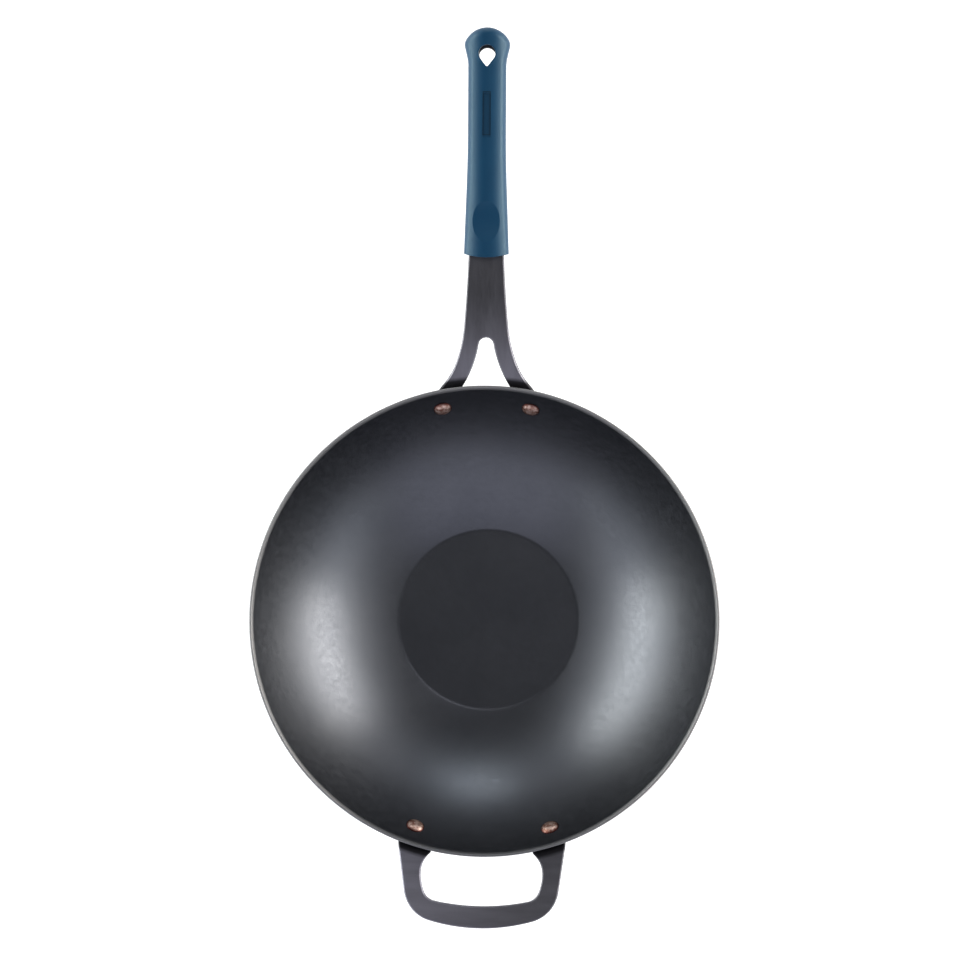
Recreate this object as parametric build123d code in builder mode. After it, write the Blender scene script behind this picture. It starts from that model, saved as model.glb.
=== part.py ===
from build123d import *
from math import acos, asin, cos, degrees, radians, sin, tan
import os

# A fourteen inch carbon steel wok: a pressed bowl with a flat base, a forged long handle with a
# silicone sleeve, and a forged helper handle, each held by two copper coloured rivets.
# Millimetres, +Z up. The origin is the centre of the flat base's underside. The long handle points
# along +Y and the helper handle along -Y. Slopes are angles to the floor, in degrees.

# Bowl
rim_diameter = 355.6
bowl_height = 95.0
flat_diameter = 142.0
wall = 2.0
base_slope = 20.0
base_bend = 8.0

# Rivets
rivet_inset = 13.0
long_rivet_spacing = 67.3
helper_rivet_spacing = 102.4
shank_diameter = 6.0
shank_clearance = 0.05
head_diameter = 13.8
head_height = 2.5
head_edge = 0.5
formed_diameter = 10.5
formed_height = 2.6
spot_margin = 0.5

# Both handles
seat_gap = 0.05
plate = 6.0
plate_round = 1.3
pad_diameter = 22.0

# Long handle
leg_rise = 11.0
leg_bend = 8.0
fork_slope = 25.0
tang_slope = 7.0
arm_radius = 295.0
cut_tilt = 17.0
crotch_gap = 36.2
neck_length = 61.6
neck_width = 26.5
crotch_radius = 5.6
neck_edge_angle = 1.9
neck_flare_radius = 926.0
neck_flare_turn = 3.4
fork_flare_radius = 113.0
fork_flare_turn = 14.7
leg_flare_radius = 57.0
leg_flare_turn = 19.6
inner_edge_angle = 9.3
inner_flare_radius = 94.4
inner_flare_turn = 21.7

# Tang, inside the sleeve
tang_width = 20.0
tang_taper = 34.0
tang_end_gap = 8.0
tang_hole_offset = 1.9

# Sleeve
sleeve_length = 168.6
sleeve_thickness = 22.0
sleeve_clearance = 0.3
sleeve_crown_radius = 24.0
sleeve_side_round = 7.0
sleeve_mouth_width = 33.8
sleeve_mouth_bow = 2.5
sleeve_mouth_round = 0.5
sleeve_waist_width = 28.5
sleeve_waist_start = 72.0
sleeve_waist_inset = 25.6
sleeve_waist_blend = 1100.0
bulb_inset = 12.0
bulb_tip_radius = 18.7
bulb_corner_round = 8.0
bulb_flank_round = 26.0

# Sleeve details
hang_radius = 6.3
hang_point = 10.4
hang_point_round = 1.2
hang_inset = 19.5
hang_edge_round = 0.7
thumb_reach = 24.5
thumb_depth = 2.3
thumb_radius = 51.0
label_inset = 65.3
label_length = 32.6
label_width = 6.0
label_depth = 0.6

# Helper handle
helper_rise = 4.4
helper_bend = 22.0
helper_slope = 9.0
helper_length = 53.4
bar_width = 16.2
bar_outer_radius = 140.0
bar_outer_turn = 16.2
corner_outer_radius = 27.0
flank_outer_turn = 81.8
flank_outer_length = 33.0
bar_inner_radius = 172.0
bar_inner_turn = 11.75
corner_inner_radius = 11.5
corner_inner_turn = 70.0
flank_inner_radius = 40.0
heel_radius = 18.5
heel_turn = 50.0

# All cuts run past the solid by this much
overrun = 5.0


def sind(angle):
    return sin(radians(angle))


def cosd(angle):
    return cos(radians(angle))


# Reaches are distances from the bowl's axis. The bowl's wall is an arc in profile, with its centre high
# above the base, near the axis. It leaves the flat at the base slope and ends in the round edge of the
# rim, whose outermost point is the rim radius and whose top is the bowl's height.
rim_radius = rim_diameter / 2
flat_radius = flat_diameter / 2
rivet_reach = rim_radius - rivet_inset
long_rivet_turn = degrees(asin(long_rivet_spacing / 2 / rivet_reach))
helper_rivet_turn = degrees(asin(helper_rivet_spacing / 2 / rivet_reach))
crotch_reach = rim_radius + crotch_gap
mouth_reach = crotch_reach + neck_length
helper_reach = rim_radius + helper_length
rim_bead = wall / 2
arc_run = rim_radius - rim_bead - flat_radius
arc_rise = bowl_height - rim_bead
arc_lean = arc_rise * cosd(base_slope) - arc_run * sind(base_slope) - rim_bead
outer_arc = (arc_run**2 + arc_rise**2 - rim_bead**2) / (2 * arc_lean)
inner_arc = outer_arc - wall
arc_centre = (flat_radius - outer_arc * sind(base_slope), outer_arc * cosd(base_slope))


def on_arc(centre, radius, slope):
    """The point, as reach and height, where an arc has this slope. A negative radius bends down."""
    return (centre[0] + radius * sind(slope), centre[1] - radius * cosd(slope))


def slope_at_reach(centre, radius, reach):
    return degrees(asin((reach - centre[0]) / radius))


def slope_at_height(centre, radius, height):
    return degrees(acos((centre[1] - height) / radius))


def profile_arc(centre, radius, start_slope, end_slope):
    middle = (start_slope + end_slope) / 2
    ThreePointArc(*[on_arc(centre, radius, s) for s in (start_slope, middle, end_slope)])


# Rivet planes: the origin is on the inner wall, Z runs out through the wall, and -Y climbs the wall
rivet_slope = slope_at_reach(arc_centre, inner_arc, rivet_reach)


def rivet_plane(azimuth):
    reach, height = on_arc(arc_centre, inner_arc, rivet_slope)
    return Plane(
        origin=(reach * sind(azimuth), reach * cosd(azimuth), height),
        x_dir=(cosd(azimuth), -sind(azimuth), 0),
        z_dir=(sind(rivet_slope) * sind(azimuth), sind(rivet_slope) * cosd(azimuth), -cosd(rivet_slope)),
    )


rivet_azimuths = {
    "rivet_long_left": -long_rivet_turn,
    "rivet_long_right": long_rivet_turn,
    "rivet_helper_left": 180 + helper_rivet_turn,
    "rivet_helper_right": 180 - helper_rivet_turn,
}

# Both handles follow the wall up from the rivets, then bend out under the rim
plate_arc = outer_arc + seat_gap + plate / 2
leg_leave_slope = rivet_slope + degrees(leg_rise / plate_arc)
helper_leave_slope = rivet_slope + degrees(helper_rise / plate_arc)


def next_centre(point, radius, slope):
    """The centre of an arc that leaves this point of the profile with this slope."""
    return (point[0] - radius * sind(slope), point[1] + radius * cosd(slope))


def plate_band(arcs, end, end_slope, shift):
    """The closed side profile of a handle: its middle line, widened by the shift to both sides."""
    for side in (shift, -shift):
        for centre, radius, start_slope, end_of_arc in arcs:
            profile_arc(centre, radius - side, start_slope, end_of_arc)
        last_centre, last_radius = arcs[-1][:2]
        Line(
            on_arc(last_centre, last_radius - side, end_slope),
            (end[0] - side * sind(end_slope), end[1] + side * cosd(end_slope)),
        )
    first_centre, first_radius, first_slope = arcs[0][:3]
    Line(*[on_arc(first_centre, first_radius - side, first_slope) for side in (shift, -shift)])
    Line(*[(end[0] - side * sind(end_slope), end[1] + side * cosd(end_slope)) for side in (shift, -shift)])


# Long handle, middle line of the plate: along the wall, bend under the rim, long gentle arm, straight
# tang. It is the same at every X, and set back so that it meets the round wall at the rivets.
leg_centre = (arc_centre[0] - rivet_reach * (1 - cosd(long_rivet_turn)), arc_centre[1])
leg_leave = on_arc(leg_centre, plate_arc, leg_leave_slope)
bend_centre = next_centre(leg_leave, -leg_bend, leg_leave_slope)
fork_start = on_arc(bend_centre, -leg_bend, fork_slope)
arm_centre = next_centre(fork_start, -arm_radius, fork_slope)
tang_start = on_arc(arm_centre, -arm_radius, tang_slope)
long_arcs = (
    (leg_centre, plate_arc, rivet_slope, leg_leave_slope),
    (bend_centre, -leg_bend, leg_leave_slope, fork_slope),
    (arm_centre, -arm_radius, fork_slope, tang_slope),
)


def tang_point(reach):
    return (reach, tang_start[1] + (reach - tang_start[0]) * tan(radians(tang_slope)))


def arm_point(reach):
    return on_arc(arm_centre, -arm_radius, slope_at_reach(arm_centre, -arm_radius, reach))


mouth = tang_point(mouth_reach)
tang_length = sleeve_length - tang_end_gap
hang_reach = sleeve_length - hang_inset
tang_tip = tang_point(mouth_reach + tang_length * cosd(tang_slope))
band_end = tang_point(mouth_reach + (sleeve_length + overrun) * cosd(tang_slope))

# The sleeve's plane: the origin is at the mouth, in the middle of the plate, and Y runs along the tang
sleeve_axis = (0, cosd(tang_slope), sind(tang_slope))
sleeve_up = (0, -sind(tang_slope), cosd(tang_slope))
sleeve_plane = Plane(origin=(0, *mouth), x_dir=(1, 0, 0), z_dir=sleeve_up)
sleeve_side_plane = Plane(origin=(0, *mouth), x_dir=sleeve_axis, z_dir=(1, 0, 0))
sleeve_end_plane = Plane(origin=(0, *mouth), x_dir=(1, 0, 0), z_dir=sleeve_axis)

# The handle's outline is cut square to the fork's plate, in a plane through the crotch
crotch = arm_point(crotch_reach)
cut_plane = Plane(origin=(0, *crotch), x_dir=(1, 0, 0), z_dir=(0, -sind(cut_tilt), cosd(cut_tilt)))


def along_cut(point):
    """How far along the outline a point of the profile lies, from the crotch."""
    return (point[0] - crotch[0]) * cosd(cut_tilt) + (point[1] - crotch[1]) * sind(cut_tilt)


def arc_on(before, radius, turn):
    """An arc that goes on smoothly from the piece of outline before it."""
    return JernArc(before @ 1, before % 1, radius, turn)


def line_on(before, length):
    return Line(before @ 1, before @ 1 + (before % 1) * length)


with BuildPart() as wok_body:
    with BuildSketch(Plane.XZ) as bowl_section:
        inner_base_slope = slope_at_height(arc_centre, inner_arc, wall)
        inner_base = on_arc(arc_centre, inner_arc, inner_base_slope)
        rim_slope = slope_at_height(arc_centre, outer_arc - rim_bead, bowl_height - rim_bead)
        rim_centre = on_arc(arc_centre, outer_arc - rim_bead, rim_slope)
        with BuildLine():
            Polyline((flat_radius, 0), (0, 0), (0, wall), inner_base)
            profile_arc(arc_centre, outer_arc, base_slope, rim_slope)
            profile_arc(arc_centre, inner_arc, inner_base_slope, rim_slope)
            profile_arc(rim_centre, rim_bead, rim_slope, rim_slope + 180)
        make_face()
        for corner, radius in ((inner_base, base_bend), ((flat_radius, 0), base_bend + wall)):
            fillet(vertices().sort_by_distance(Vector(*corner))[0], radius)
    revolve(axis=Axis.Z)
    for azimuth in rivet_azimuths.values():
        with BuildSketch(rivet_plane(azimuth).offset(-overrun)):
            Circle(shank_diameter / 2 + shank_clearance)
        extrude(amount=wall + 2 * overrun, mode=Mode.SUBTRACT)

wok_body.part.label = "wok_body"


def pad_side(name, side, plane):
    """Where a leg's edge ends inside its round pad, level with the rivet, in the outline's plane."""
    at_rivet = rivet_plane(rivet_azimuths[name])
    half_width = pad_diameter / 2 - plate_round
    depth = wall + seat_gap + plate / 2
    point = at_rivet.origin + at_rivet.x_dir * side * half_width + at_rivet.z_dir * depth
    local = plane.to_local_coords(point)
    return (local.X, local.Y)


# All that lies inside the bowl's outer face, to trim the pads to the round wall
with BuildPart() as bowl_space:
    with BuildSketch(Plane.XZ):
        seat_arc = outer_arc + seat_gap
        with BuildLine():
            floor_point = on_arc(arc_centre, seat_arc, base_slope)
            top_point = on_arc(arc_centre, seat_arc, leg_leave_slope + base_slope)
            profile_arc(arc_centre, seat_arc, base_slope, leg_leave_slope + base_slope)
            Polyline(floor_point, (0, floor_point[1]), (0, top_point[1]), top_point)
        make_face()
    revolve(axis=Axis.Z)


long_names = ("rivet_long_left", "rivet_long_right")
helper_names = ("rivet_helper_left", "rivet_helper_right")

# The round pads of both handles, one under each rivet
pad_face = wall + seat_gap + plate
pads = {}
for name, azimuth in rivet_azimuths.items():
    with BuildPart() as pad:
        with BuildSketch(rivet_plane(azimuth)):
            Circle(pad_diameter / 2)
        extrude(amount=pad_face)
        pad_axis = Axis(rivet_plane(azimuth).origin, rivet_plane(azimuth).z_dir)
        fillet(pad.edges().filter_by(GeomType.CIRCLE).sort_by(pad_axis)[-1], plate_round)
    pads[name] = pad.part


def tang_outline(margin):
    """The right half of the tang's outline, inside the sleeve, from its tip to the sleeve's mouth."""
    half_tang = tang_width / 2 + margin
    tip = along_cut(tang_tip) + margin
    round_start = tip - half_tang
    taper_end = along_cut(tang_point(mouth_reach + tang_taper * cosd(tang_slope)))
    tip_middle = (half_tang * sind(45), round_start + half_tang * cosd(45))
    ThreePointArc((0, tip), tip_middle, (half_tang, round_start))
    Line((half_tang, round_start), (half_tang, taper_end))
    Spline(
        (half_tang, taper_end),
        (neck_width / 2 + margin, along_cut(mouth)),
        tangents=((0, -1), (sind(neck_edge_angle), -cosd(neck_edge_angle))),
    )


def teardrop(centre):
    """The hang hole's outline in the sleeve's plane, round to the tip and pointed to the bowl."""
    side = degrees(acos(hang_radius / hang_point))
    touch = (hang_radius * sind(side), centre - hang_radius * cosd(side))
    point = (0, centre - hang_point)
    Line(point, touch)
    ThreePointArc(touch, (0, centre + hang_radius), (-touch[0], touch[1]))
    Line((-touch[0], touch[1]), point)


# The solid that cuts the long handle's outline out of the plate, square to the fork
tip_rise = (tang_tip[0] - crotch[0]) * sind(cut_tilt) - (tang_tip[1] - crotch[1]) * cosd(cut_tilt)
with BuildPart() as fork_cutter:
    with BuildSketch(cut_plane):
        with BuildLine():
            tang_outline(0)
            neck_edge = JernArc(
                (neck_width / 2, along_cut(mouth)),
                (sind(neck_edge_angle), -cosd(neck_edge_angle)),
                neck_flare_radius,
                neck_flare_turn,
            )
            fork_edge = arc_on(neck_edge, fork_flare_radius, fork_flare_turn)
            leg_edge = arc_on(fork_edge, leg_flare_radius, leg_flare_turn)
            crotch_edge = JernArc((0, 0), (1, 0), crotch_radius, inner_edge_angle - 90)
            inner_edge = arc_on(crotch_edge, inner_flare_radius, inner_flare_turn)
            outer_end = pad_side("rivet_long_right", 1, cut_plane)
            inner_end = pad_side("rivet_long_right", -1, cut_plane)
            TangentArc(leg_edge @ 1, outer_end, tangent=leg_edge % 1)
            TangentArc(inner_edge @ 1, inner_end, tangent=inner_edge % 1)
            Line(outer_end, inner_end)
            Line((0, 0), (0, along_cut(tang_tip)))
        make_face()
        mirror(about=Plane.YZ)
    extrude(amount=abs(tip_rise) + plate + overrun, both=True)

with BuildPart() as long_handle:
    with BuildSketch(Plane.YZ):
        with BuildLine():
            plate_band(long_arcs, band_end, tang_slope, plate / 2)
        make_face()
    extrude(amount=rim_radius, both=True)
    add(fork_cutter.part, mode=Mode.INTERSECT)
    free_edges = edges().filter_by(GeomType.LINE, reverse=True)
    free_edges = free_edges.filter_by_position(Axis.Y, rivet_reach + plate, band_end[0])
    fillet(free_edges, plate_round)
    for name in long_names:
        add(pads[name])
    add(bowl_space.part, mode=Mode.SUBTRACT)
    for name in long_names:
        with BuildSketch(rivet_plane(rivet_azimuths[name])):
            Circle(shank_diameter / 2 + shank_clearance)
        extrude(amount=pad_face + overrun, mode=Mode.SUBTRACT)
        with BuildSketch(rivet_plane(rivet_azimuths[name]).offset(pad_face)):
            Circle(formed_diameter / 2 + spot_margin)
        extrude(amount=overrun, mode=Mode.SUBTRACT)
    with BuildSketch(sleeve_plane):
        with BuildLine():
            teardrop(hang_reach - tang_hole_offset)
        make_face()
        fillet(vertices().sort_by(Axis.Y)[0], hang_point_round)
    extrude(amount=sleeve_thickness, both=True, mode=Mode.SUBTRACT)

long_handle.part.label = "long_handle"

# Helper handle: pad, wide bend under the rim, straight cone out to the bar
helper_leave = on_arc(arc_centre, plate_arc, helper_leave_slope)
helper_bend_centre = next_centre(helper_leave, -helper_bend, helper_leave_slope)
helper_start = on_arc(helper_bend_centre, -helper_bend, helper_slope)
helper_arcs = (
    (arc_centre, plate_arc, rivet_slope, helper_leave_slope),
    (helper_bend_centre, -helper_bend, helper_leave_slope, helper_slope),
)
helper_end_reach = helper_reach + overrun
helper_end = (
    helper_end_reach,
    helper_start[1] + (helper_end_reach - helper_start[0]) * tan(radians(helper_slope)),
)

with BuildPart() as loop_cutter:
    with BuildSketch(Plane.XY):
        with BuildLine():
            outer_bar = JernArc((0, -helper_reach), (1, 0), bar_outer_radius, bar_outer_turn)
            outer_corner = arc_on(outer_bar, corner_outer_radius, flank_outer_turn - bar_outer_turn)
            outer_flank = line_on(outer_corner, flank_outer_length)
            inner_bar = JernArc((0, bar_width - helper_reach), (1, 0), bar_inner_radius, bar_inner_turn)
            inner_corner = arc_on(inner_bar, corner_inner_radius, corner_inner_turn - bar_inner_turn)
            inner_flank = arc_on(inner_corner, flank_inner_radius, 90 - corner_inner_turn)
            heel = arc_on(inner_flank, heel_radius, heel_turn)
            outer_end = pad_side("rivet_helper_right", -1, Plane.XY)
            inner_end = pad_side("rivet_helper_right", 1, Plane.XY)
            TangentArc(outer_flank @ 1, outer_end, tangent=outer_flank % 1)
            Spline(heel @ 1, inner_end, tangents=(heel % 1, (0, 1)))
            Line(outer_end, inner_end)
            Line(outer_bar @ 0, inner_bar @ 0)
        make_face()
        mirror(about=Plane.YZ)
    extrude(amount=2 * bowl_height)

with BuildPart() as helper_handle:
    with BuildSketch(Plane.XZ):
        with BuildLine():
            plate_band(helper_arcs, helper_end, helper_slope, plate / 2)
        make_face()
    revolve(axis=Axis.Z)
    add(loop_cutter.part, mode=Mode.INTERSECT)
    free_edges = edges().filter_by(GeomType.LINE, reverse=True).filter_by(GeomType.CIRCLE, reverse=True)
    free_edges = free_edges.filter_by_position(Axis.Y, -helper_reach - plate, -rivet_reach - plate)
    fillet(free_edges, plate_round)
    for name in helper_names:
        add(pads[name])
    add(bowl_space.part, mode=Mode.SUBTRACT)
    for name in helper_names:
        with BuildSketch(rivet_plane(rivet_azimuths[name])):
            Circle(shank_diameter / 2 + shank_clearance)
        extrude(amount=pad_face + overrun, mode=Mode.SUBTRACT)
        with BuildSketch(rivet_plane(rivet_azimuths[name]).offset(pad_face)):
            Circle(formed_diameter / 2 + spot_margin)
        extrude(amount=overrun, mode=Mode.SUBTRACT)

helper_handle.part.label = "helper_handle"

# Rivets, in their own planes: a domed head in the bowl, a shank, and a formed head on the pad. The
# inner head is flat below and sits with its edge on the hollow wall.
head_seat = inner_arc - (inner_arc**2 - (head_diameter / 2) ** 2) ** 0.5
head_dome = head_height - head_edge
head_dome_radius = ((head_diameter / 2) ** 2 + head_dome**2) / (2 * head_dome)
formed_dome_radius = ((formed_diameter / 2) ** 2 + formed_height**2) / (2 * formed_height)
head_top = head_seat + head_height
formed_top = -pad_face - formed_height

rivets = {}
for rivet_name, azimuth in rivet_azimuths.items():
    plane = rivet_plane(azimuth)
    with BuildPart() as rivet:
        # in this sketch X lies along the wall and -Y runs out through it
        with BuildSketch(Plane(origin=plane.origin, x_dir=plane.x_dir, z_dir=plane.y_dir)):
            with BuildLine():
                RadiusArc((0, head_top), (head_diameter / 2, head_seat + head_edge), head_dome_radius)
                Polyline(
                    (head_diameter / 2, head_seat + head_edge),
                    (head_diameter / 2, head_seat),
                    (shank_diameter / 2, head_seat),
                    (shank_diameter / 2, -pad_face),
                    (formed_diameter / 2, -pad_face),
                )
                RadiusArc((formed_diameter / 2, -pad_face), (0, formed_top), formed_dome_radius)
                Line((0, formed_top), (0, head_top))
            make_face()
        revolve(axis=Axis(plane.origin, plane.z_dir))
    rivet.part.label = rivet_name
    rivets[rivet_name] = rivet.part

# The hollow in the sleeve: the tang's own shape, larger all round by the clearance
with BuildPart() as bore_cutter:
    with BuildSketch(cut_plane):
        with BuildLine():
            tang_outline(sleeve_clearance)
            bore_neck = (neck_width / 2 + sleeve_clearance, along_cut(mouth))
            Polyline(bore_neck, (bore_neck[0], bore_neck[1] - overrun), (0, bore_neck[1] - overrun))
            Line((0, bore_neck[1] - overrun), (0, along_cut(tang_tip) + sleeve_clearance))
        make_face()
        mirror(about=Plane.YZ)
    extrude(amount=abs(tip_rise) + plate + overrun, both=True)

with BuildPart() as bore:
    with BuildSketch(Plane.YZ):
        with BuildLine():
            plate_band(long_arcs, band_end, tang_slope, plate / 2 + sleeve_clearance)
        make_face()
    extrude(amount=rim_radius, both=True)
    add(bore_cutter.part, mode=Mode.INTERSECT)


def runs_along_sleeve(edge):
    """True for an edge that doesn't climb through the sleeve's thickness."""
    return abs((edge % 0.5).dot(Vector(*sleeve_up))) < cosd(45)


sleeve_half = sleeve_thickness / 2
bulb_reach = sleeve_length - bulb_inset
waist_end = sleeve_length - sleeve_waist_inset
crown_side = (sleeve_crown_radius**2 - (sleeve_crown_radius - sleeve_half) ** 2) ** 0.5
tip_centre = sleeve_length - bulb_tip_radius
bulb_half = (bulb_tip_radius**2 - (bulb_reach - tip_centre) ** 2) ** 0.5

with BuildPart() as handle_sleeve:
    with BuildSketch(sleeve_plane):
        with BuildLine():
            ThreePointArc((-sleeve_mouth_width / 2, 0), (0, -sleeve_mouth_bow), (sleeve_mouth_width / 2, 0))
            for side in (-1, 1):
                Polyline(
                    (side * sleeve_mouth_width / 2, 0),
                    (side * sleeve_waist_width / 2, sleeve_waist_start),
                    (side * sleeve_waist_width / 2, waist_end),
                    (side * bulb_half, bulb_reach),
                )
            ThreePointArc((-bulb_half, bulb_reach), (0, sleeve_length), (bulb_half, bulb_reach))
        make_face()
        rows = vertices().group_by(Axis.Y)
        fillet(rows[1], sleeve_waist_blend)
        fillet(vertices().sort_by(Axis.Y)[-4:-2], bulb_flank_round)
        fillet(vertices().sort_by(Axis.Y)[-2:], bulb_corner_round)
    extrude(amount=sleeve_thickness, both=True)
    with BuildSketch(sleeve_end_plane.offset(-overrun)):
        with BuildLine():
            for side in (-1, 1):
                ThreePointArc((-crown_side, 0), (0, side * sleeve_half), (crown_side, 0))
        make_face()
    extrude(amount=sleeve_length + 2 * overrun, mode=Mode.INTERSECT)
    behind_mouth = edges().filter_by(lambda e: e.distance_to(Vector(0, *mouth)) > sleeve_thickness)
    fillet(behind_mouth.filter_by(runs_along_sleeve), sleeve_side_round)
    mouth_face = faces().sort_by(Axis((0, *mouth), sleeve_axis))[0]
    fillet(mouth_face.edges(), sleeve_mouth_round)
    with BuildSketch(sleeve_plane):
        with BuildLine():
            teardrop(hang_reach)
        make_face()
        fillet(vertices().sort_by(Axis.Y)[0], hang_point_round)
    extrude(amount=sleeve_thickness, both=True, mode=Mode.SUBTRACT)
    fillet(edges(Select.LAST).filter_by(runs_along_sleeve), hang_edge_round)
    with BuildSketch(sleeve_side_plane):
        with Locations((thumb_reach, sleeve_half - thumb_depth + thumb_radius)):
            Circle(thumb_radius)
    extrude(amount=sleeve_thickness, both=True, mode=Mode.SUBTRACT)
    with BuildSketch(sleeve_plane.offset(sleeve_half - label_depth)):
        with Locations((0, sleeve_length - label_inset)):
            Rectangle(label_width, label_length)
    extrude(amount=overrun, mode=Mode.SUBTRACT)
    add(bore.part, mode=Mode.SUBTRACT)

handle_sleeve.part.label = "handle_sleeve"

os.makedirs("parts", exist_ok=True)
export_step(wok_body.part, "parts/wok_body.step")
export_step(long_handle.part, "parts/long_handle.step")
export_step(handle_sleeve.part, "parts/handle_sleeve.step")
export_step(helper_handle.part, "parts/helper_handle.step")
for rivet_name, rivet_part in rivets.items():
    export_step(rivet_part, f"parts/{rivet_name}.step")
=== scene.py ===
from math import acos, asin, cos, degrees, exp, hypot, pi, radians, sin

import bmesh
import bpy
from mathutils import Matrix, Vector


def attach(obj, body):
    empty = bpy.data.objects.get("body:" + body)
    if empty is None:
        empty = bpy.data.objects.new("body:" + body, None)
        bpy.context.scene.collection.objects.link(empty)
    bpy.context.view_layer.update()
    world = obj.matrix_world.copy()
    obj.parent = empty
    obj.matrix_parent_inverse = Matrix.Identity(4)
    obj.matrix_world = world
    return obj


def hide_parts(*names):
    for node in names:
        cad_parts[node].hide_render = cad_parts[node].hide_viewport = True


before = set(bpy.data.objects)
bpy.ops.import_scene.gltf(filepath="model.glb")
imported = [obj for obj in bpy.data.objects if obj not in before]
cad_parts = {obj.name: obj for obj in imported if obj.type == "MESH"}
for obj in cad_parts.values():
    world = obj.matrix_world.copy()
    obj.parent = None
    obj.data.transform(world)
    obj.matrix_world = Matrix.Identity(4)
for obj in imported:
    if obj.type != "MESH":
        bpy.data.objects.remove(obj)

bpy.context.view_layer.update()
scene = bpy.context.scene

# Sizes are in metres. The origin is the centre of the flat base's underside, the long handle points
# along +Y and the helper handle along -Y. Slopes are angles to the floor, in degrees.
MM = 0.001

# Bowl
RIM_RADIUS = 177.8 * MM
BOWL_HEIGHT = 95.0 * MM
FLAT_RADIUS = 71.0 * MM
WALL = 2.0 * MM
BASE_SLOPE = 20.0
BASE_BEND = 8.0 * MM
TURNS = 288
ARC_STEPS = 56
BEND_STEPS = 8
RIM_STEPS = 10
FLAT_SHARES = (0.15, 0.35, 0.55, 0.75, 0.9)

# Rivets
RIVET_REACH = 164.8 * MM
RIVET_SPACINGS = {"long": (67.3 * MM, 1), "helper": (102.4 * MM, -1)}
SHANK_RADIUS = 3.0 * MM
HOLE_RADIUS = 3.05 * MM
HEAD_RADIUS = 6.9 * MM
HEAD_HEIGHT = 2.5 * MM
HEAD_EDGE = 0.5 * MM
HEAD_ROUNDNESS = 0.45
HEAD_CHAMFER = 0.15 * HEAD_EDGE
FORMED_RADIUS = 5.25 * MM
FORMED_HEIGHT = 2.6 * MM
PLATE = 6.0 * MM
SEAT_GAP = 0.05 * MM
HOLE_SIDES = 32
RIVET_TURNS = 48
HEAD_RINGS = 14
HEAD_RING_POWER = 0.8
FORMED_RINGS = 8

# Hammer marks lie on a spiral over each rivet's head. Its turns are in radians, and its places
# along the radius are shares of the head's radius.
MARKS = 9
MARK_DEPTH = 0.13 * MM
MARK_RADIUS = 1.8 * MM
MARK_TURN = 2.4
MARK_START = 0.2
MARK_STEP = 0.085
SEED_TURN = 1.3
MARK_CHANGE = 0.4
MARK_CHANGE_TURN = 3.1


def sind(angle):
    return sin(radians(angle))


def cosd(angle):
    return cos(radians(angle))


# The wall's arc in profile, as in the CAD model. It ends in the round edge of the rim.
RIM_BEAD = WALL / 2
arc_run = RIM_RADIUS - RIM_BEAD - FLAT_RADIUS
arc_rise = BOWL_HEIGHT - RIM_BEAD
arc_lean = arc_rise * cosd(BASE_SLOPE) - arc_run * sind(BASE_SLOPE) - RIM_BEAD
OUTER_ARC = (arc_run**2 + arc_rise**2 - RIM_BEAD**2) / (2 * arc_lean)
INNER_ARC = OUTER_ARC - WALL
ARC_CENTRE = (FLAT_RADIUS - OUTER_ARC * sind(BASE_SLOPE), OUTER_ARC * cosd(BASE_SLOPE))


def on_arc(centre, radius, slope):
    return (centre[0] + radius * sind(slope), centre[1] - radius * cosd(slope))


def arc_points(centre, radius, start, end, count):
    return [on_arc(centre, radius, start + (end - start) * k / count) for k in range(count + 1)]


# Mesh helpers
def new_object(name, mesh_builder):
    mesh = bpy.data.meshes.new(name)
    mesh_builder.to_mesh(mesh)
    mesh_builder.free()
    obj = bpy.data.objects.new(name, mesh)
    scene.collection.objects.link(obj)
    return obj


def lathe(profile, turns):
    """A closed solid turned round Z. The profile's first and last points lie on the axis."""
    bm = bmesh.new()
    rings = []
    for reach, height in profile[1:-1]:
        ring = []
        for k in range(turns):
            angle = 2 * pi * k / turns
            ring.append(bm.verts.new((reach * cos(angle), reach * sin(angle), height)))
        rings.append(ring)
    first = bm.verts.new((0, 0, profile[0][1]))
    last = bm.verts.new((0, 0, profile[-1][1]))
    for k in range(turns):
        after = (k + 1) % turns
        bm.faces.new((first, rings[0][k], rings[0][after]))
        bm.faces.new((last, rings[-1][after], rings[-1][k]))
        for low, high in zip(rings, rings[1:]):
            bm.faces.new((low[k], high[k], high[after], low[after]))
    bmesh.ops.recalc_face_normals(bm, faces=bm.faces)
    return bm


def smooth(obj, angle):
    """Smooth shading, with the edges beyond that angle kept sharp."""
    mesh = obj.data
    mesh.shade_smooth()
    mesh.set_sharp_from_angle(angle=radians(angle))


# Bowl: one pressed sheet with a rounded rim, drilled for the rivets
def bend(floor, radius, arc_radius):
    """Centre and end slope of the bend between the flat base and the wall."""
    height = floor + radius
    reach = ARC_CENTRE[0] + ((arc_radius - radius) ** 2 - (ARC_CENTRE[1] - height) ** 2) ** 0.5
    return (reach, height), degrees(asin((reach - ARC_CENTRE[0]) / (arc_radius - radius)))


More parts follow.
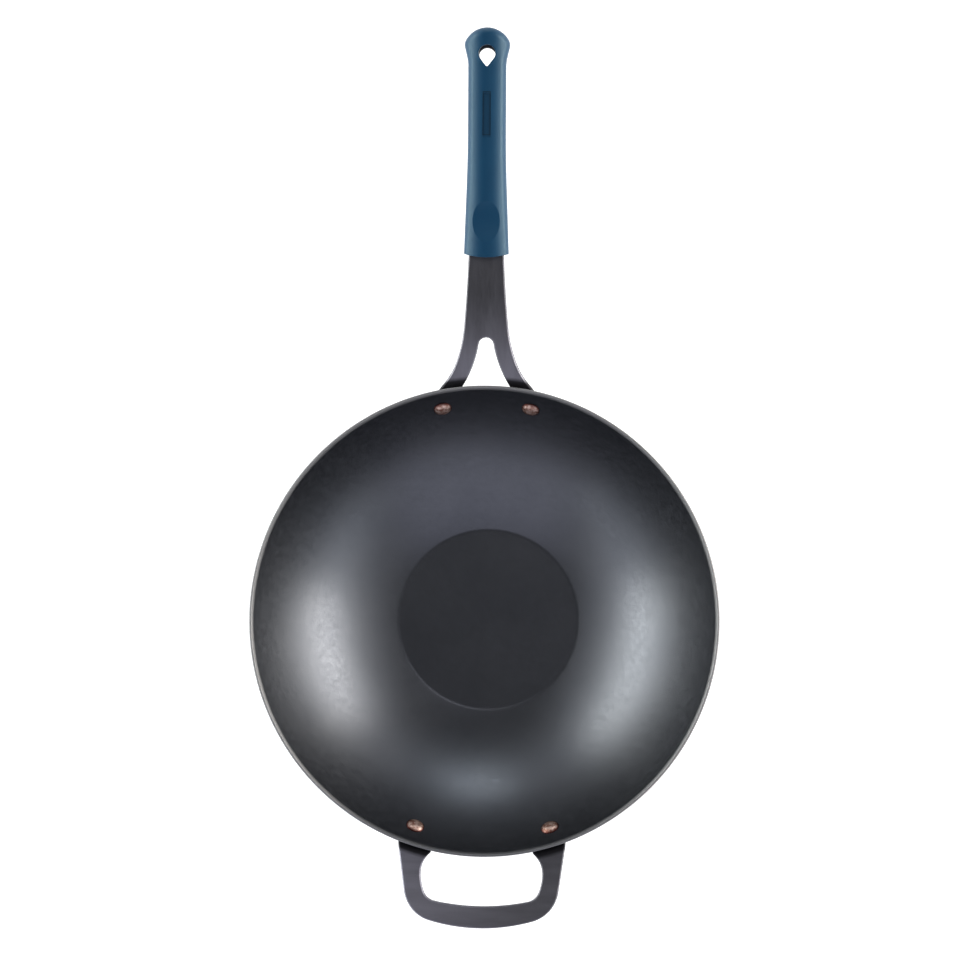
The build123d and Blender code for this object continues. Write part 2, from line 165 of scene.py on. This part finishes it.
def bowl_profile():
    middle_arc = OUTER_ARC - RIM_BEAD
    rim_slope = degrees(acos((ARC_CENTRE[1] - BOWL_HEIGHT + RIM_BEAD) / middle_arc))
    rim_centre = on_arc(ARC_CENTRE, middle_arc, rim_slope)
    outer_bend, outer_slope = bend(0, BASE_BEND + WALL, OUTER_ARC)
    inner_bend, inner_slope = bend(WALL, BASE_BEND, INNER_ARC)
    points = [(0, 0)]
    points += [(outer_bend[0] * share, 0) for share in FLAT_SHARES]
    points += arc_points(outer_bend, BASE_BEND + WALL, 0, outer_slope, BEND_STEPS)
    points += arc_points(ARC_CENTRE, OUTER_ARC, outer_slope, rim_slope, ARC_STEPS)[1:]
    points += arc_points(rim_centre, RIM_BEAD, rim_slope, rim_slope + 180, RIM_STEPS)[1:-1]
    points += arc_points(ARC_CENTRE, INNER_ARC, rim_slope, inner_slope, ARC_STEPS)
    points += arc_points(inner_bend, BASE_BEND, inner_slope, 0, BEND_STEPS)[1:]
    points += [(inner_bend[0] * share, WALL) for share in reversed(FLAT_SHARES)]
    points.append((0, WALL))
    return points


def rivet_frames():
    """Name, place on the inner wall and outward normal of each rivet, with a side vector."""
    slope = degrees(asin((RIVET_REACH - ARC_CENTRE[0]) / INNER_ARC))
    reach, height = on_arc(ARC_CENTRE, INNER_ARC, slope)
    for handle, (spacing, end) in RIVET_SPACINGS.items():
        turn = degrees(asin(spacing / 2 / RIVET_REACH))
        for side, word in ((-1, "left"), (1, "right")):
            x, y = side * sind(turn), end * cosd(turn)
            normal = Vector((sind(slope) * x, sind(slope) * y, -cosd(slope)))
            across = Vector((y, -x, 0))
            place = Vector((reach * x, reach * y, height))
            yield f"rivet_{handle}_{word}", place, normal, across


def rivet_matrix(place, normal, across):
    """Z runs out through the wall, X along it."""
    up = normal.cross(across)
    return Matrix.Translation(place) @ Matrix((across, up, normal)).transposed().to_4x4()


def make_bowl():
    bowl = new_object("bowl", lathe(bowl_profile(), TURNS))
    cutters = bmesh.new()
    for _, place, normal, across in rivet_frames():
        bmesh.ops.create_cone(
            cutters,
            cap_ends=True,
            segments=HOLE_SIDES,
            radius1=HOLE_RADIUS,
            radius2=HOLE_RADIUS,
            depth=6 * WALL,
            matrix=rivet_matrix(place, normal, across),
        )
    cutter = new_object("rivet_holes", cutters)
    cut = bowl.modifiers.new("rivet holes", "BOOLEAN")
    cut.operation = "DIFFERENCE"
    cut.solver = "EXACT"
    cut.object = cutter
    bpy.context.view_layer.update()
    evaluated = bowl.evaluated_get(bpy.context.evaluated_depsgraph_get())
    drilled = bpy.data.meshes.new_from_object(evaluated)
    bowl.modifiers.clear()
    bowl.data = drilled
    bpy.data.objects.remove(cutter)
    smooth(bowl, 50)
    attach(bowl, "pan")
    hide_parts("wok_body")
    return bowl


# Rivets: a hand hammered head in the bowl, a shank, and a formed head on the pad
def dome_height(radius, height, reach):
    """Height at a reach from the middle of a dome that is part of a ball."""
    ball = (radius**2 + height**2) / (2 * height)
    return (ball**2 - reach**2) ** 0.5 - (ball - height)


def hammered(x, y, seed):
    """Height of the head above its edge: a flattened dome with soft hammer marks of uneven depth."""
    rise = HEAD_HEIGHT - HEAD_EDGE
    share = min(hypot(x, y) / HEAD_RADIUS, 1)
    dome = HEAD_ROUNDNESS * (1 - share**2) + (1 - HEAD_ROUNDNESS) * (1 - share**4)
    height = rise * dome
    for k in range(MARKS):
        angle = MARK_TURN * k + SEED_TURN * seed
        reach = HEAD_RADIUS * (MARK_START + MARK_STEP * k)
        gap = hypot(x - reach * cos(angle), y - reach * sin(angle))
        depth = MARK_DEPTH * (1 + MARK_CHANGE * sin(MARK_CHANGE_TURN * k + seed))
        height -= depth * exp(-((gap / MARK_RADIUS) ** 2))
    return max(height, 0)


def make_rivet(name, place, normal, across, seed):
    """One closed solid: rings from the middle of the hammered head, along the shank and over the
    formed head. It is made about its own axis, with 0 on the bowl's inner wall, and then placed."""
    seat = INNER_ARC - (INNER_ARC**2 - HEAD_RADIUS**2) ** 0.5
    pad_face = WALL + SEAT_GAP + PLATE
    bm = bmesh.new()
    rows = []

    def ring(reach, heights):
        row = []
        for k in range(RIVET_TURNS):
            angle = 2 * pi * k / RIVET_TURNS
            x, y = reach * cos(angle), reach * sin(angle)
            row.append(bm.verts.new((x, y, heights(x, y))))
        rows.append(row)

    for k in range(1, HEAD_RINGS + 1):
        reach = HEAD_RADIUS * sin(pi / 2 * k / HEAD_RINGS) ** HEAD_RING_POWER
        ring(reach, lambda x, y: -seat - HEAD_EDGE - hammered(x, y, seed))
    ring(HEAD_RADIUS, lambda x, y: -seat - HEAD_CHAMFER)
    ring(HEAD_RADIUS - HEAD_CHAMFER, lambda x, y: -seat)
    ring(SHANK_RADIUS, lambda x, y: -seat)
    ring(SHANK_RADIUS, lambda x, y: pad_face)
    for k in range(FORMED_RINGS):
        reach = FORMED_RADIUS * cos(pi / 2 * k / FORMED_RINGS)
        rise = dome_height(FORMED_RADIUS, FORMED_HEIGHT, reach)
        ring(reach, lambda x, y: pad_face + rise)
    top = bm.verts.new((0, 0, -seat - HEAD_EDGE - hammered(0, 0, seed)))
    bottom = bm.verts.new((0, 0, pad_face + FORMED_HEIGHT))
    for k in range(RIVET_TURNS):
        after = (k + 1) % RIVET_TURNS
        bm.faces.new((top, rows[0][k], rows[0][after]))
        bm.faces.new((bottom, rows[-1][after], rows[-1][k]))
        for one, two in zip(rows, rows[1:]):
            bm.faces.new((one[k], two[k], two[after], one[after]))
    bmesh.ops.recalc_face_normals(bm, faces=bm.faces)
    bmesh.ops.transform(bm, matrix=rivet_matrix(place, normal, across), verts=bm.verts)
    rivet = new_object(name.replace("rivet_", "hammered_rivet_"), bm)
    smooth(rivet, 35)
    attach(rivet, "pan")
    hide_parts(name)
    return rivet


# Materials. Colours are linear, and tones of noise lie mostly between NOISE_LOW and NOISE_HIGH.
NOISE_LOW = 0.3
NOISE_HIGH = 0.7
GRAIN_DEPTH = 0.2 * MM

# Steel: the tints of its glancing reflections, how far below the rim's top its wear begins and is
#  full, and how far outside the rim the painted shade that blackens the handles ends
BOWL_DARK = (0.104, 0.108, 0.122)
BOWL_LIGHT = (0.124, 0.128, 0.142)
BOWL_EDGE_ON = (0.5, 0.5, 0.5, 1)
WORN_STEEL = (0.25, 0.245, 0.25, 1)
WORN_ROUGHNESS = 0.55
WORN_START = (3.9 * MM, 2.9 * MM)
WORN_FULL = 1.9 * MM
WORN_AT_HELPER = 0.5
WORN_EVEN_FROM = -0.72 * RIM_RADIUS
HANDLE_EDGE_ON = (0.7, 0.7, 0.7, 1)
STREAK_CHANGE = 0.13
RIM_SHADE_STEEL = (0.03, 0.029, 0.033, 1)
RIM_SHADE_END = (4.5 * MM, 7.5 * MM)

# Silicone: places along the handle are distances from the origin
SILICONE_DARK = (0.001, 0.034, 0.085)
SILICONE_LIGHT = (0.001, 0.04, 0.095)
# SILICONE_SHADE is the colour of the painted shade in the label recess
SILICONE_SHADE = (0.0003, 0.006, 0.016, 1)
SILICONE_SHEEN = (0.72, 0.95, 0.98, 1)
SILICONE_GLOSS = 0.41
CROWN_SOFTENING = 72 * MM
CROWN_FADE = 45 * MM
CROWN_AT_MOUTH = 0.2
MOUTH_REACH = 275.6 * MM
LABEL_MIDDLE = 378.1 * MM
LABEL_WIDTH = 6.0 * MM
LABEL_LENGTH = 32.3 * MM
LABEL_BLUR = 0.1 * MM
LABEL_BORDER = (0.9 * MM, 0.3 * MM)
LABEL_SHADES = (0.3, 0.85)

COPPER_DARK = (0.26, 0.125, 0.095)
COPPER_LIGHT = (0.68, 0.49, 0.42)
# COPPER_EDGE_SHADE is the painted shade round the edge of each rivet's head, between these shares of
# its radius
COPPER_EDGE_SHADE = (0.07, 0.02, 0.018, 1)
COPPER_SHADE_BAND = (0.74 * HEAD_RADIUS, 0.97 * HEAD_RADIUS)


def material(name):
    """A material with a principled shader, and the coordinates of the object that it is on."""
    mat = bpy.data.materials.new(name)
    mat.use_nodes = True
    tree = mat.node_tree
    tree.nodes.clear()
    out = tree.nodes.new("ShaderNodeOutputMaterial")
    shader = tree.nodes.new("ShaderNodeBsdfPrincipled")
    tree.links.new(shader.outputs[0], out.inputs["Surface"])
    coords = tree.nodes.new("ShaderNodeTexCoord").outputs["Object"]
    return mat, tree, shader, coords


def node(tree, kind, inputs=None, **settings):
    """A shader node. Inputs that are sockets are linked, and all others are set."""
    made = tree.nodes.new(kind)
    for key, value in settings.items():
        setattr(made, key, value)
    for key, value in (inputs or {}).items():
        if isinstance(value, bpy.types.NodeSocket):
            tree.links.new(value, made.inputs[key])
        else:
            made.inputs[key].default_value = value
    return made


def noise(tree, coords, scale, detail=4.0, stretch=(1, 1, 1)):
    """Noise about 0.5, with its coordinates stretched along an axis for streaks."""
    mapped = node(tree, "ShaderNodeMapping", {"Vector": coords, "Scale": stretch}).outputs[0]
    inputs = {"Vector": mapped, "Scale": scale, "Detail": detail}
    return node(tree, "ShaderNodeTexNoise", inputs).outputs["Fac"]


def map_range(tree, value, low, high, to_low, to_high):
    inputs = {
        "Value": value,
        "From Min": low,
        "From Max": high,
        "To Min": to_low,
        "To Max": to_high,
    }
    return node(tree, "ShaderNodeMapRange", inputs).outputs["Result"]


def vary(tree, tone, least, most):
    """A value that follows a noise."""
    return map_range(tree, tone, NOISE_LOW, NOISE_HIGH, least, most)


def ramp(tree, tone, dark, light, low=NOISE_LOW, high=NOISE_HIGH):
    """A colour that follows a noise."""
    made = node(tree, "ShaderNodeValToRGB", {"Fac": tone})
    for element, place, colour in zip(made.color_ramp.elements, (low, high), (dark, light)):
        element.position = place
        element.color = (*colour, 1)
    return made.outputs["Color"]


def mix(tree, share, colour, other):
    """A colour that turns into another one as the share goes from 0 to 1. The sockets with a colour
    mix's factor, colours and result have only their numbers to tell them apart."""
    return node(tree, "ShaderNodeMix", {0: share, 6: colour, 7: other}, data_type="RGBA").outputs[2]


def calculate(tree, operation, one, other):
    """One step of arithmetic on two values."""
    return node(tree, "ShaderNodeMath", {0: one, 1: other}, operation=operation).outputs[0]


def vector_step(tree, operation, inputs):
    return node(tree, "ShaderNodeVectorMath", inputs, operation=operation)


def parts_of(tree, vector):
    """The X, Y and Z of a vector."""
    return node(tree, "ShaderNodeSeparateXYZ", {0: vector}).outputs


def bump(tree, height, strength, distance, **more):
    inputs = {"Height": height, "Strength": strength, "Distance": distance, **more}
    return node(tree, "ShaderNodeBump", inputs)


def bowl_steel():
    """Heat treated carbon steel: dark blue grey satin with a fine grain, worn lighter on the rim,
    and less so at the helper handle."""
    mat, tree, shader, coords = material("bowl_steel")
    colour = ramp(tree, noise(tree, coords, 14.0, 5.0), BOWL_DARK, BOWL_LIGHT)
    place = parts_of(tree, coords)
    ragged = noise(tree, coords, 90.0, 4.0)
    start = map_range(tree, ragged, 0.2, 0.8, *(BOWL_HEIGHT - drop for drop in WORN_START))
    most = map_range(tree, place["Y"], -RIM_RADIUS, WORN_EVEN_FROM, WORN_AT_HELPER, 1)
    worn = map_range(tree, place["Z"], start, BOWL_HEIGHT - WORN_FULL, 0, most)
    tree.links.new(mix(tree, worn, colour, WORN_STEEL), shader.inputs["Base Color"])
    rough = vary(tree, noise(tree, coords, 260.0, 3.0), 0.32, 0.38)
    rough = map_range(tree, worn, 0, 1, rough, WORN_ROUGHNESS)
    tree.links.new(rough, shader.inputs["Roughness"])
    grain = bump(tree, noise(tree, coords, 1500.0, 2.0), 0.12, GRAIN_DEPTH)
    tree.links.new(grain.outputs["Normal"], shader.inputs["Normal"])
    shader.inputs["Metallic"].default_value = 1.0
    shader.inputs["Specular Tint"].default_value = BOWL_EDGE_ON
    return mat


def handle_steel(name, grain_way, axis, painted_light_end, painted_shade_end, light, dark):
    """Forged steel with the same dark finish, with faint streaks along the handle. Painted light and
    shade take it from light to dark along one axis, and painted shade makes it black next to the
    rim."""
    mat, tree, shader, coords = material(name)
    streaks = noise(tree, coords, 40.0, 5.0, grain_way)

    def streaked(tone):
        low = [(1 - STREAK_CHANGE) * value for value in tone]
        high = [(1 + STREAK_CHANGE) * value for value in tone]
        return ramp(tree, streaks, low, high)

    # Painted light and shade: the lit tone fades into the shaded tone along the axis
    painted_light_share = map_range(tree, parts_of(tree, coords)[axis], painted_light_end, painted_shade_end, 1, 0)
    painted_lit_steel = mix(tree, painted_light_share, streaked(dark), streaked(light))
    flat = node(tree, "ShaderNodeMapping", {"Vector": coords, "Scale": (1, 1, 0)}).outputs[0]
    reach = vector_step(tree, "LENGTH", {0: flat}).outputs["Value"]
    # Painted shade: the steel turns black next to the rim, where the rim shades it
    rim_shade = map_range(tree, reach, *(RIM_RADIUS + gap for gap in RIM_SHADE_END), 1, 0)
    tree.links.new(mix(tree, rim_shade, painted_lit_steel, RIM_SHADE_STEEL), shader.inputs["Base Color"])
    rough = vary(tree, noise(tree, coords, 300.0, 3.0, grain_way), 0.42, 0.52)
    tree.links.new(rough, shader.inputs["Roughness"])
    grain = bump(tree, noise(tree, coords, 1200.0, 3.0), 0.18, GRAIN_DEPTH)
    tree.links.new(grain.outputs["Normal"], shader.inputs["Normal"])
    shader.inputs["Metallic"].default_value = 1.0
    shader.inputs["Specular Tint"].default_value = HANDLE_EDGE_ON
    return mat


def label_shade(tree, coords):
    """Painted shade in the bare label recess: 0 outside it, a third in it and most along its edge.
    """
    shift = {"Vector": coords, "Location": (0, -LABEL_MIDDLE, 0)}
    centred = node(tree, "ShaderNodeMapping", shift).outputs[0]
    away = parts_of(tree, vector_step(tree, "ABSOLUTE", {0: centred}).outputs[0])
    over_side = calculate(tree, "SUBTRACT", away["X"], LABEL_WIDTH / 2)
    over_end = calculate(tree, "SUBTRACT", away["Y"], LABEL_LENGTH / 2)
    outside = calculate(tree, "MAXIMUM", over_side, over_end)
    inside = map_range(tree, outside, -LABEL_BLUR, LABEL_BLUR, 1, 0)
    shade = map_range(tree, outside, *(-inset for inset in LABEL_BORDER), *LABEL_SHADES)
    return calculate(tree, "MULTIPLY", inside, shade)


def silicone():
    """Matt blue silicone with a fine grain and a bump that rounds its crown away from the mouth."""
    mat, tree, shader, coords = material("silicone")
    colour = ramp(tree, noise(tree, coords, 30.0, 4.0), SILICONE_DARK, SILICONE_LIGHT)
    # Painted shade in the label recess
    colour = mix(tree, label_shade(tree, coords), colour, SILICONE_SHADE)
    tree.links.new(colour, shader.inputs["Base Color"])
    rough = vary(tree, noise(tree, coords, 500.0, 2.0), 0.4, 0.48)
    tree.links.new(rough, shader.inputs["Roughness"])
    shader.inputs["Specular IOR Level"].default_value = SILICONE_GLOSS
    shader.inputs["Specular Tint"].default_value = SILICONE_SHEEN
    place = parts_of(tree, coords)
    faded = MOUTH_REACH + CROWN_FADE
    fade = map_range(tree, place["Y"], MOUTH_REACH, faded, CROWN_AT_MOUTH, 1)
    square = calculate(tree, "MULTIPLY", place["X"], place["X"])
    crown = bump(tree, calculate(tree, "MULTIPLY", square, fade), 1, 1 / (2 * CROWN_SOFTENING))
    crown.invert = True
    grain = noise(tree, coords, 2500.0, 2.0)
    grain = bump(tree, grain, 0.15, GRAIN_DEPTH, Normal=crown.outputs["Normal"])
    tree.links.new(grain.outputs["Normal"], shader.inputs["Normal"])
    return mat


def copper(name, place, normal):
    """Copper coloured rivet metal, worn bright on its hammered flats, with painted shade along its
    edge.
    """
    mat, tree, shader, coords = material(name + "_copper")
    clouds = noise(tree, coords, 350.0, 4.0)
    bright = ramp(tree, clouds, COPPER_DARK, COPPER_LIGHT, 0.38, 0.62)
    centred = node(tree, "ShaderNodeMapping", {"Vector": coords, "Location": -place}).outputs[0]
    turned = vector_step(tree, "CROSS_PRODUCT", {0: centred, 1: normal}).outputs[0]
    reach = vector_step(tree, "LENGTH", {0: turned}).outputs["Value"]
    # Painted shade along the edge of the head
    edge_shade = map_range(tree, reach, *COPPER_SHADE_BAND, 0, 1)
    tree.links.new(mix(tree, edge_shade, bright, COPPER_EDGE_SHADE), shader.inputs["Base Color"])
    tree.links.new(vary(tree, clouds, 0.5, 0.42), shader.inputs["Roughness"])
    dents = bump(tree, noise(tree, coords, 700.0, 2.0), 0.15, GRAIN_DEPTH)
    tree.links.new(dents.outputs["Normal"], shader.inputs["Normal"])
    shader.inputs["Metallic"].default_value = 1.0
    return mat


def paint(obj, mat):
    if not obj.material_slots:
        obj.data.materials.append(mat)
    for slot in obj.material_slots:
        slot.material = mat


# Each handle's painted light and shade: its lit and its shaded tone, and the places along its axis
# where these end
LONG_LOOK = {
    "grain_way": (3, 0.35, 1),
    "axis": "Y",
    "painted_light_end": 0.2,
    "painted_shade_end": 0.245,
    "light": (0.2, 0.194, 0.22),
    "dark": (0.106, 0.104, 0.116),
}
HELPER_LOOK = {
    "grain_way": (0.35, 3, 1),
    "axis": "X",
    "painted_light_end": -0.065,
    "painted_shade_end": 0.03,
    "light": (0.235, 0.228, 0.27),
    "dark": (0.125, 0.122, 0.138),
}

paint(make_bowl(), bowl_steel())
paint(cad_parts["long_handle"], handle_steel("long_handle_steel", **LONG_LOOK))
paint(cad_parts["helper_handle"], handle_steel("helper_steel", **HELPER_LOOK))
paint(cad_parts["handle_sleeve"], silicone())
for seed, (name, place, normal, across) in enumerate(rivet_frames()):
    paint(make_rivet(name, place, normal, across, seed), copper(name, place, normal))


# Studio: a white floor that glows a little, a dim room that is brighter at the horizon, and soft
# boxes. Each box has a name, its turn from +X to +Y, its distance, the heights of its lower and
# upper edge, its width, how bright it looks, and its tint.
FLOOR_SIZE = 8.0
FLOOR_GLOW = 0.45
FLOOR_WHITE = (0.92, 0.92, 0.92, 1)
ROOM_TINT = (0.95, 0.97, 1, 1)
ROOM_TOP = 0.175
ROOM_HORIZON = 0.8
ROOM_BAND = 0.6
SOFT_BOXES = (
    ("right", 14, 1.7, 0.08, 0.85, 1.5, 9.6, (1, 0.97, 0.89)),
    ("right_wide", -8, 1.8, 0.08, 0.9, 3.0, 1.45, (0.9, 0.95, 1)),
    ("right_high", 2, 1.9, 0.9, 1.9, 3.2, 0.5, (0.92, 0.95, 1)),
    ("left", 164, 1.7, 0.08, 0.85, 1.9, 7.1, (0.97, 1, 0.94)),
    ("left_wide", 192, 1.8, 0.08, 0.9, 3.0, 1.6, (0.9, 0.95, 1)),
    ("left_high", 174, 1.9, 0.9, 1.9, 3.6, 0.6, (0.92, 0.95, 1)),
    ("helper_side", 270, 2.1, 0.1, 2.6, 3.4, 0.75, (0.84, 0.85, 1)),
    ("handle_right", 56, 1.75, 0.1, 0.9, 1.0, 0.6, (0.92, 0.96, 1)),
    ("handle_left", 122, 1.75, 0.1, 0.9, 0.9, 0.6, (0.92, 0.96, 1)),
    ("handle_side", 89, 1.7, 0.42, 0.7, 0.7, 5.0, (0.9, 0.97, 1)),
    ("above_sleeve", 66, 0.75, 1.7, 2.3, 0.7, 1.5, (0.95, 0.95, 1)),
)


def make_floor():
    bm = bmesh.new()
    bmesh.ops.create_grid(bm, x_segments=1, y_segments=1, size=FLOOR_SIZE / 2)
    floor = new_object("floor", bm)
    mat, _, shader, _ = material("floor_white")
    shader.inputs["Base Color"].default_value = FLOOR_WHITE
    shader.inputs["Roughness"].default_value = 0.9
    shader.inputs["Emission Color"].default_value = (1, 1, 1, 1)
    shader.inputs["Emission Strength"].default_value = FLOOR_GLOW
    floor.data.materials.append(mat)


def make_room():
    world = bpy.data.worlds.new("room")
    scene.world = world
    world.use_nodes = True
    tree = world.node_tree
    tree.nodes.clear()
    coords = tree.nodes.new("ShaderNodeTexCoord").outputs["Generated"]
    light = map_range(tree, parts_of(tree, coords)["Z"], 0, ROOM_BAND, ROOM_HORIZON, ROOM_TOP)
    background = node(tree, "ShaderNodeBackground", {"Color": ROOM_TINT, "Strength": light})
    out = tree.nodes.new("ShaderNodeOutputWorld")
    tree.links.new(background.outputs[0], out.inputs["Surface"])


def make_soft_box(name, turn, distance, low, high, width, brightness, tint):
    """A light that faces the middle of the rim. Its power is what gives it that brightness."""
    centre = Vector((cosd(turn) * distance, sind(turn) * distance, (low + high) / 2))
    light = bpy.data.lights.new(f"soft_box_{name}", "AREA")
    light.shape = "RECTANGLE"
    light.size = width
    light.size_y = high - low
    light.energy = brightness * pi * width * (high - low)
    light.color = tint
    lamp = bpy.data.objects.new(f"soft_box_{name}", light)
    scene.collection.objects.link(lamp)
    lamp.location = centre
    lamp.rotation_mode = "QUATERNION"
    lamp.rotation_quaternion = (centre - Vector((0, 0, BOWL_HEIGHT))).to_track_quat("Z", "Y")
    lamp.visible_camera = False


# Camera: high above the pan, a little to the right of it and towards the long handle. Its lens and
# sensor are in millimetres, and its roll is in degrees.
CAMERA_PLACE = Vector((80.0, 18.0, 2195.0)) * MM
CAMERA_AIM = Vector((0.06, 101.95, 95.0)) * MM
CAMERA_ROLL = 0.575
CAMERA_LENS = 103.12
CAMERA_SENSOR = 36.0
CAMERA_FAR = 20.0


def make_camera():
    data = bpy.data.cameras.new("camera")
    data.lens = CAMERA_LENS
    data.sensor_width = CAMERA_SENSOR
    data.clip_end = CAMERA_FAR
    camera = bpy.data.objects.new("camera", data)
    scene.collection.objects.link(camera)
    ahead = (CAMERA_AIM - CAMERA_PLACE).normalized()
    up = Vector((-sind(CAMERA_ROLL), cosd(CAMERA_ROLL), 0))
    right = ahead.cross(up).normalized()
    turn = Matrix((right, right.cross(ahead), -ahead)).transposed().to_4x4()
    camera.matrix_world = Matrix.Translation(CAMERA_PLACE) @ turn
    scene.camera = camera


make_floor()
make_room()
for soft_box in SOFT_BOXES:
    make_soft_box(*soft_box)
make_camera()
scene.view_settings.view_transform = "Standard"

bpy.context.view_layer.update()
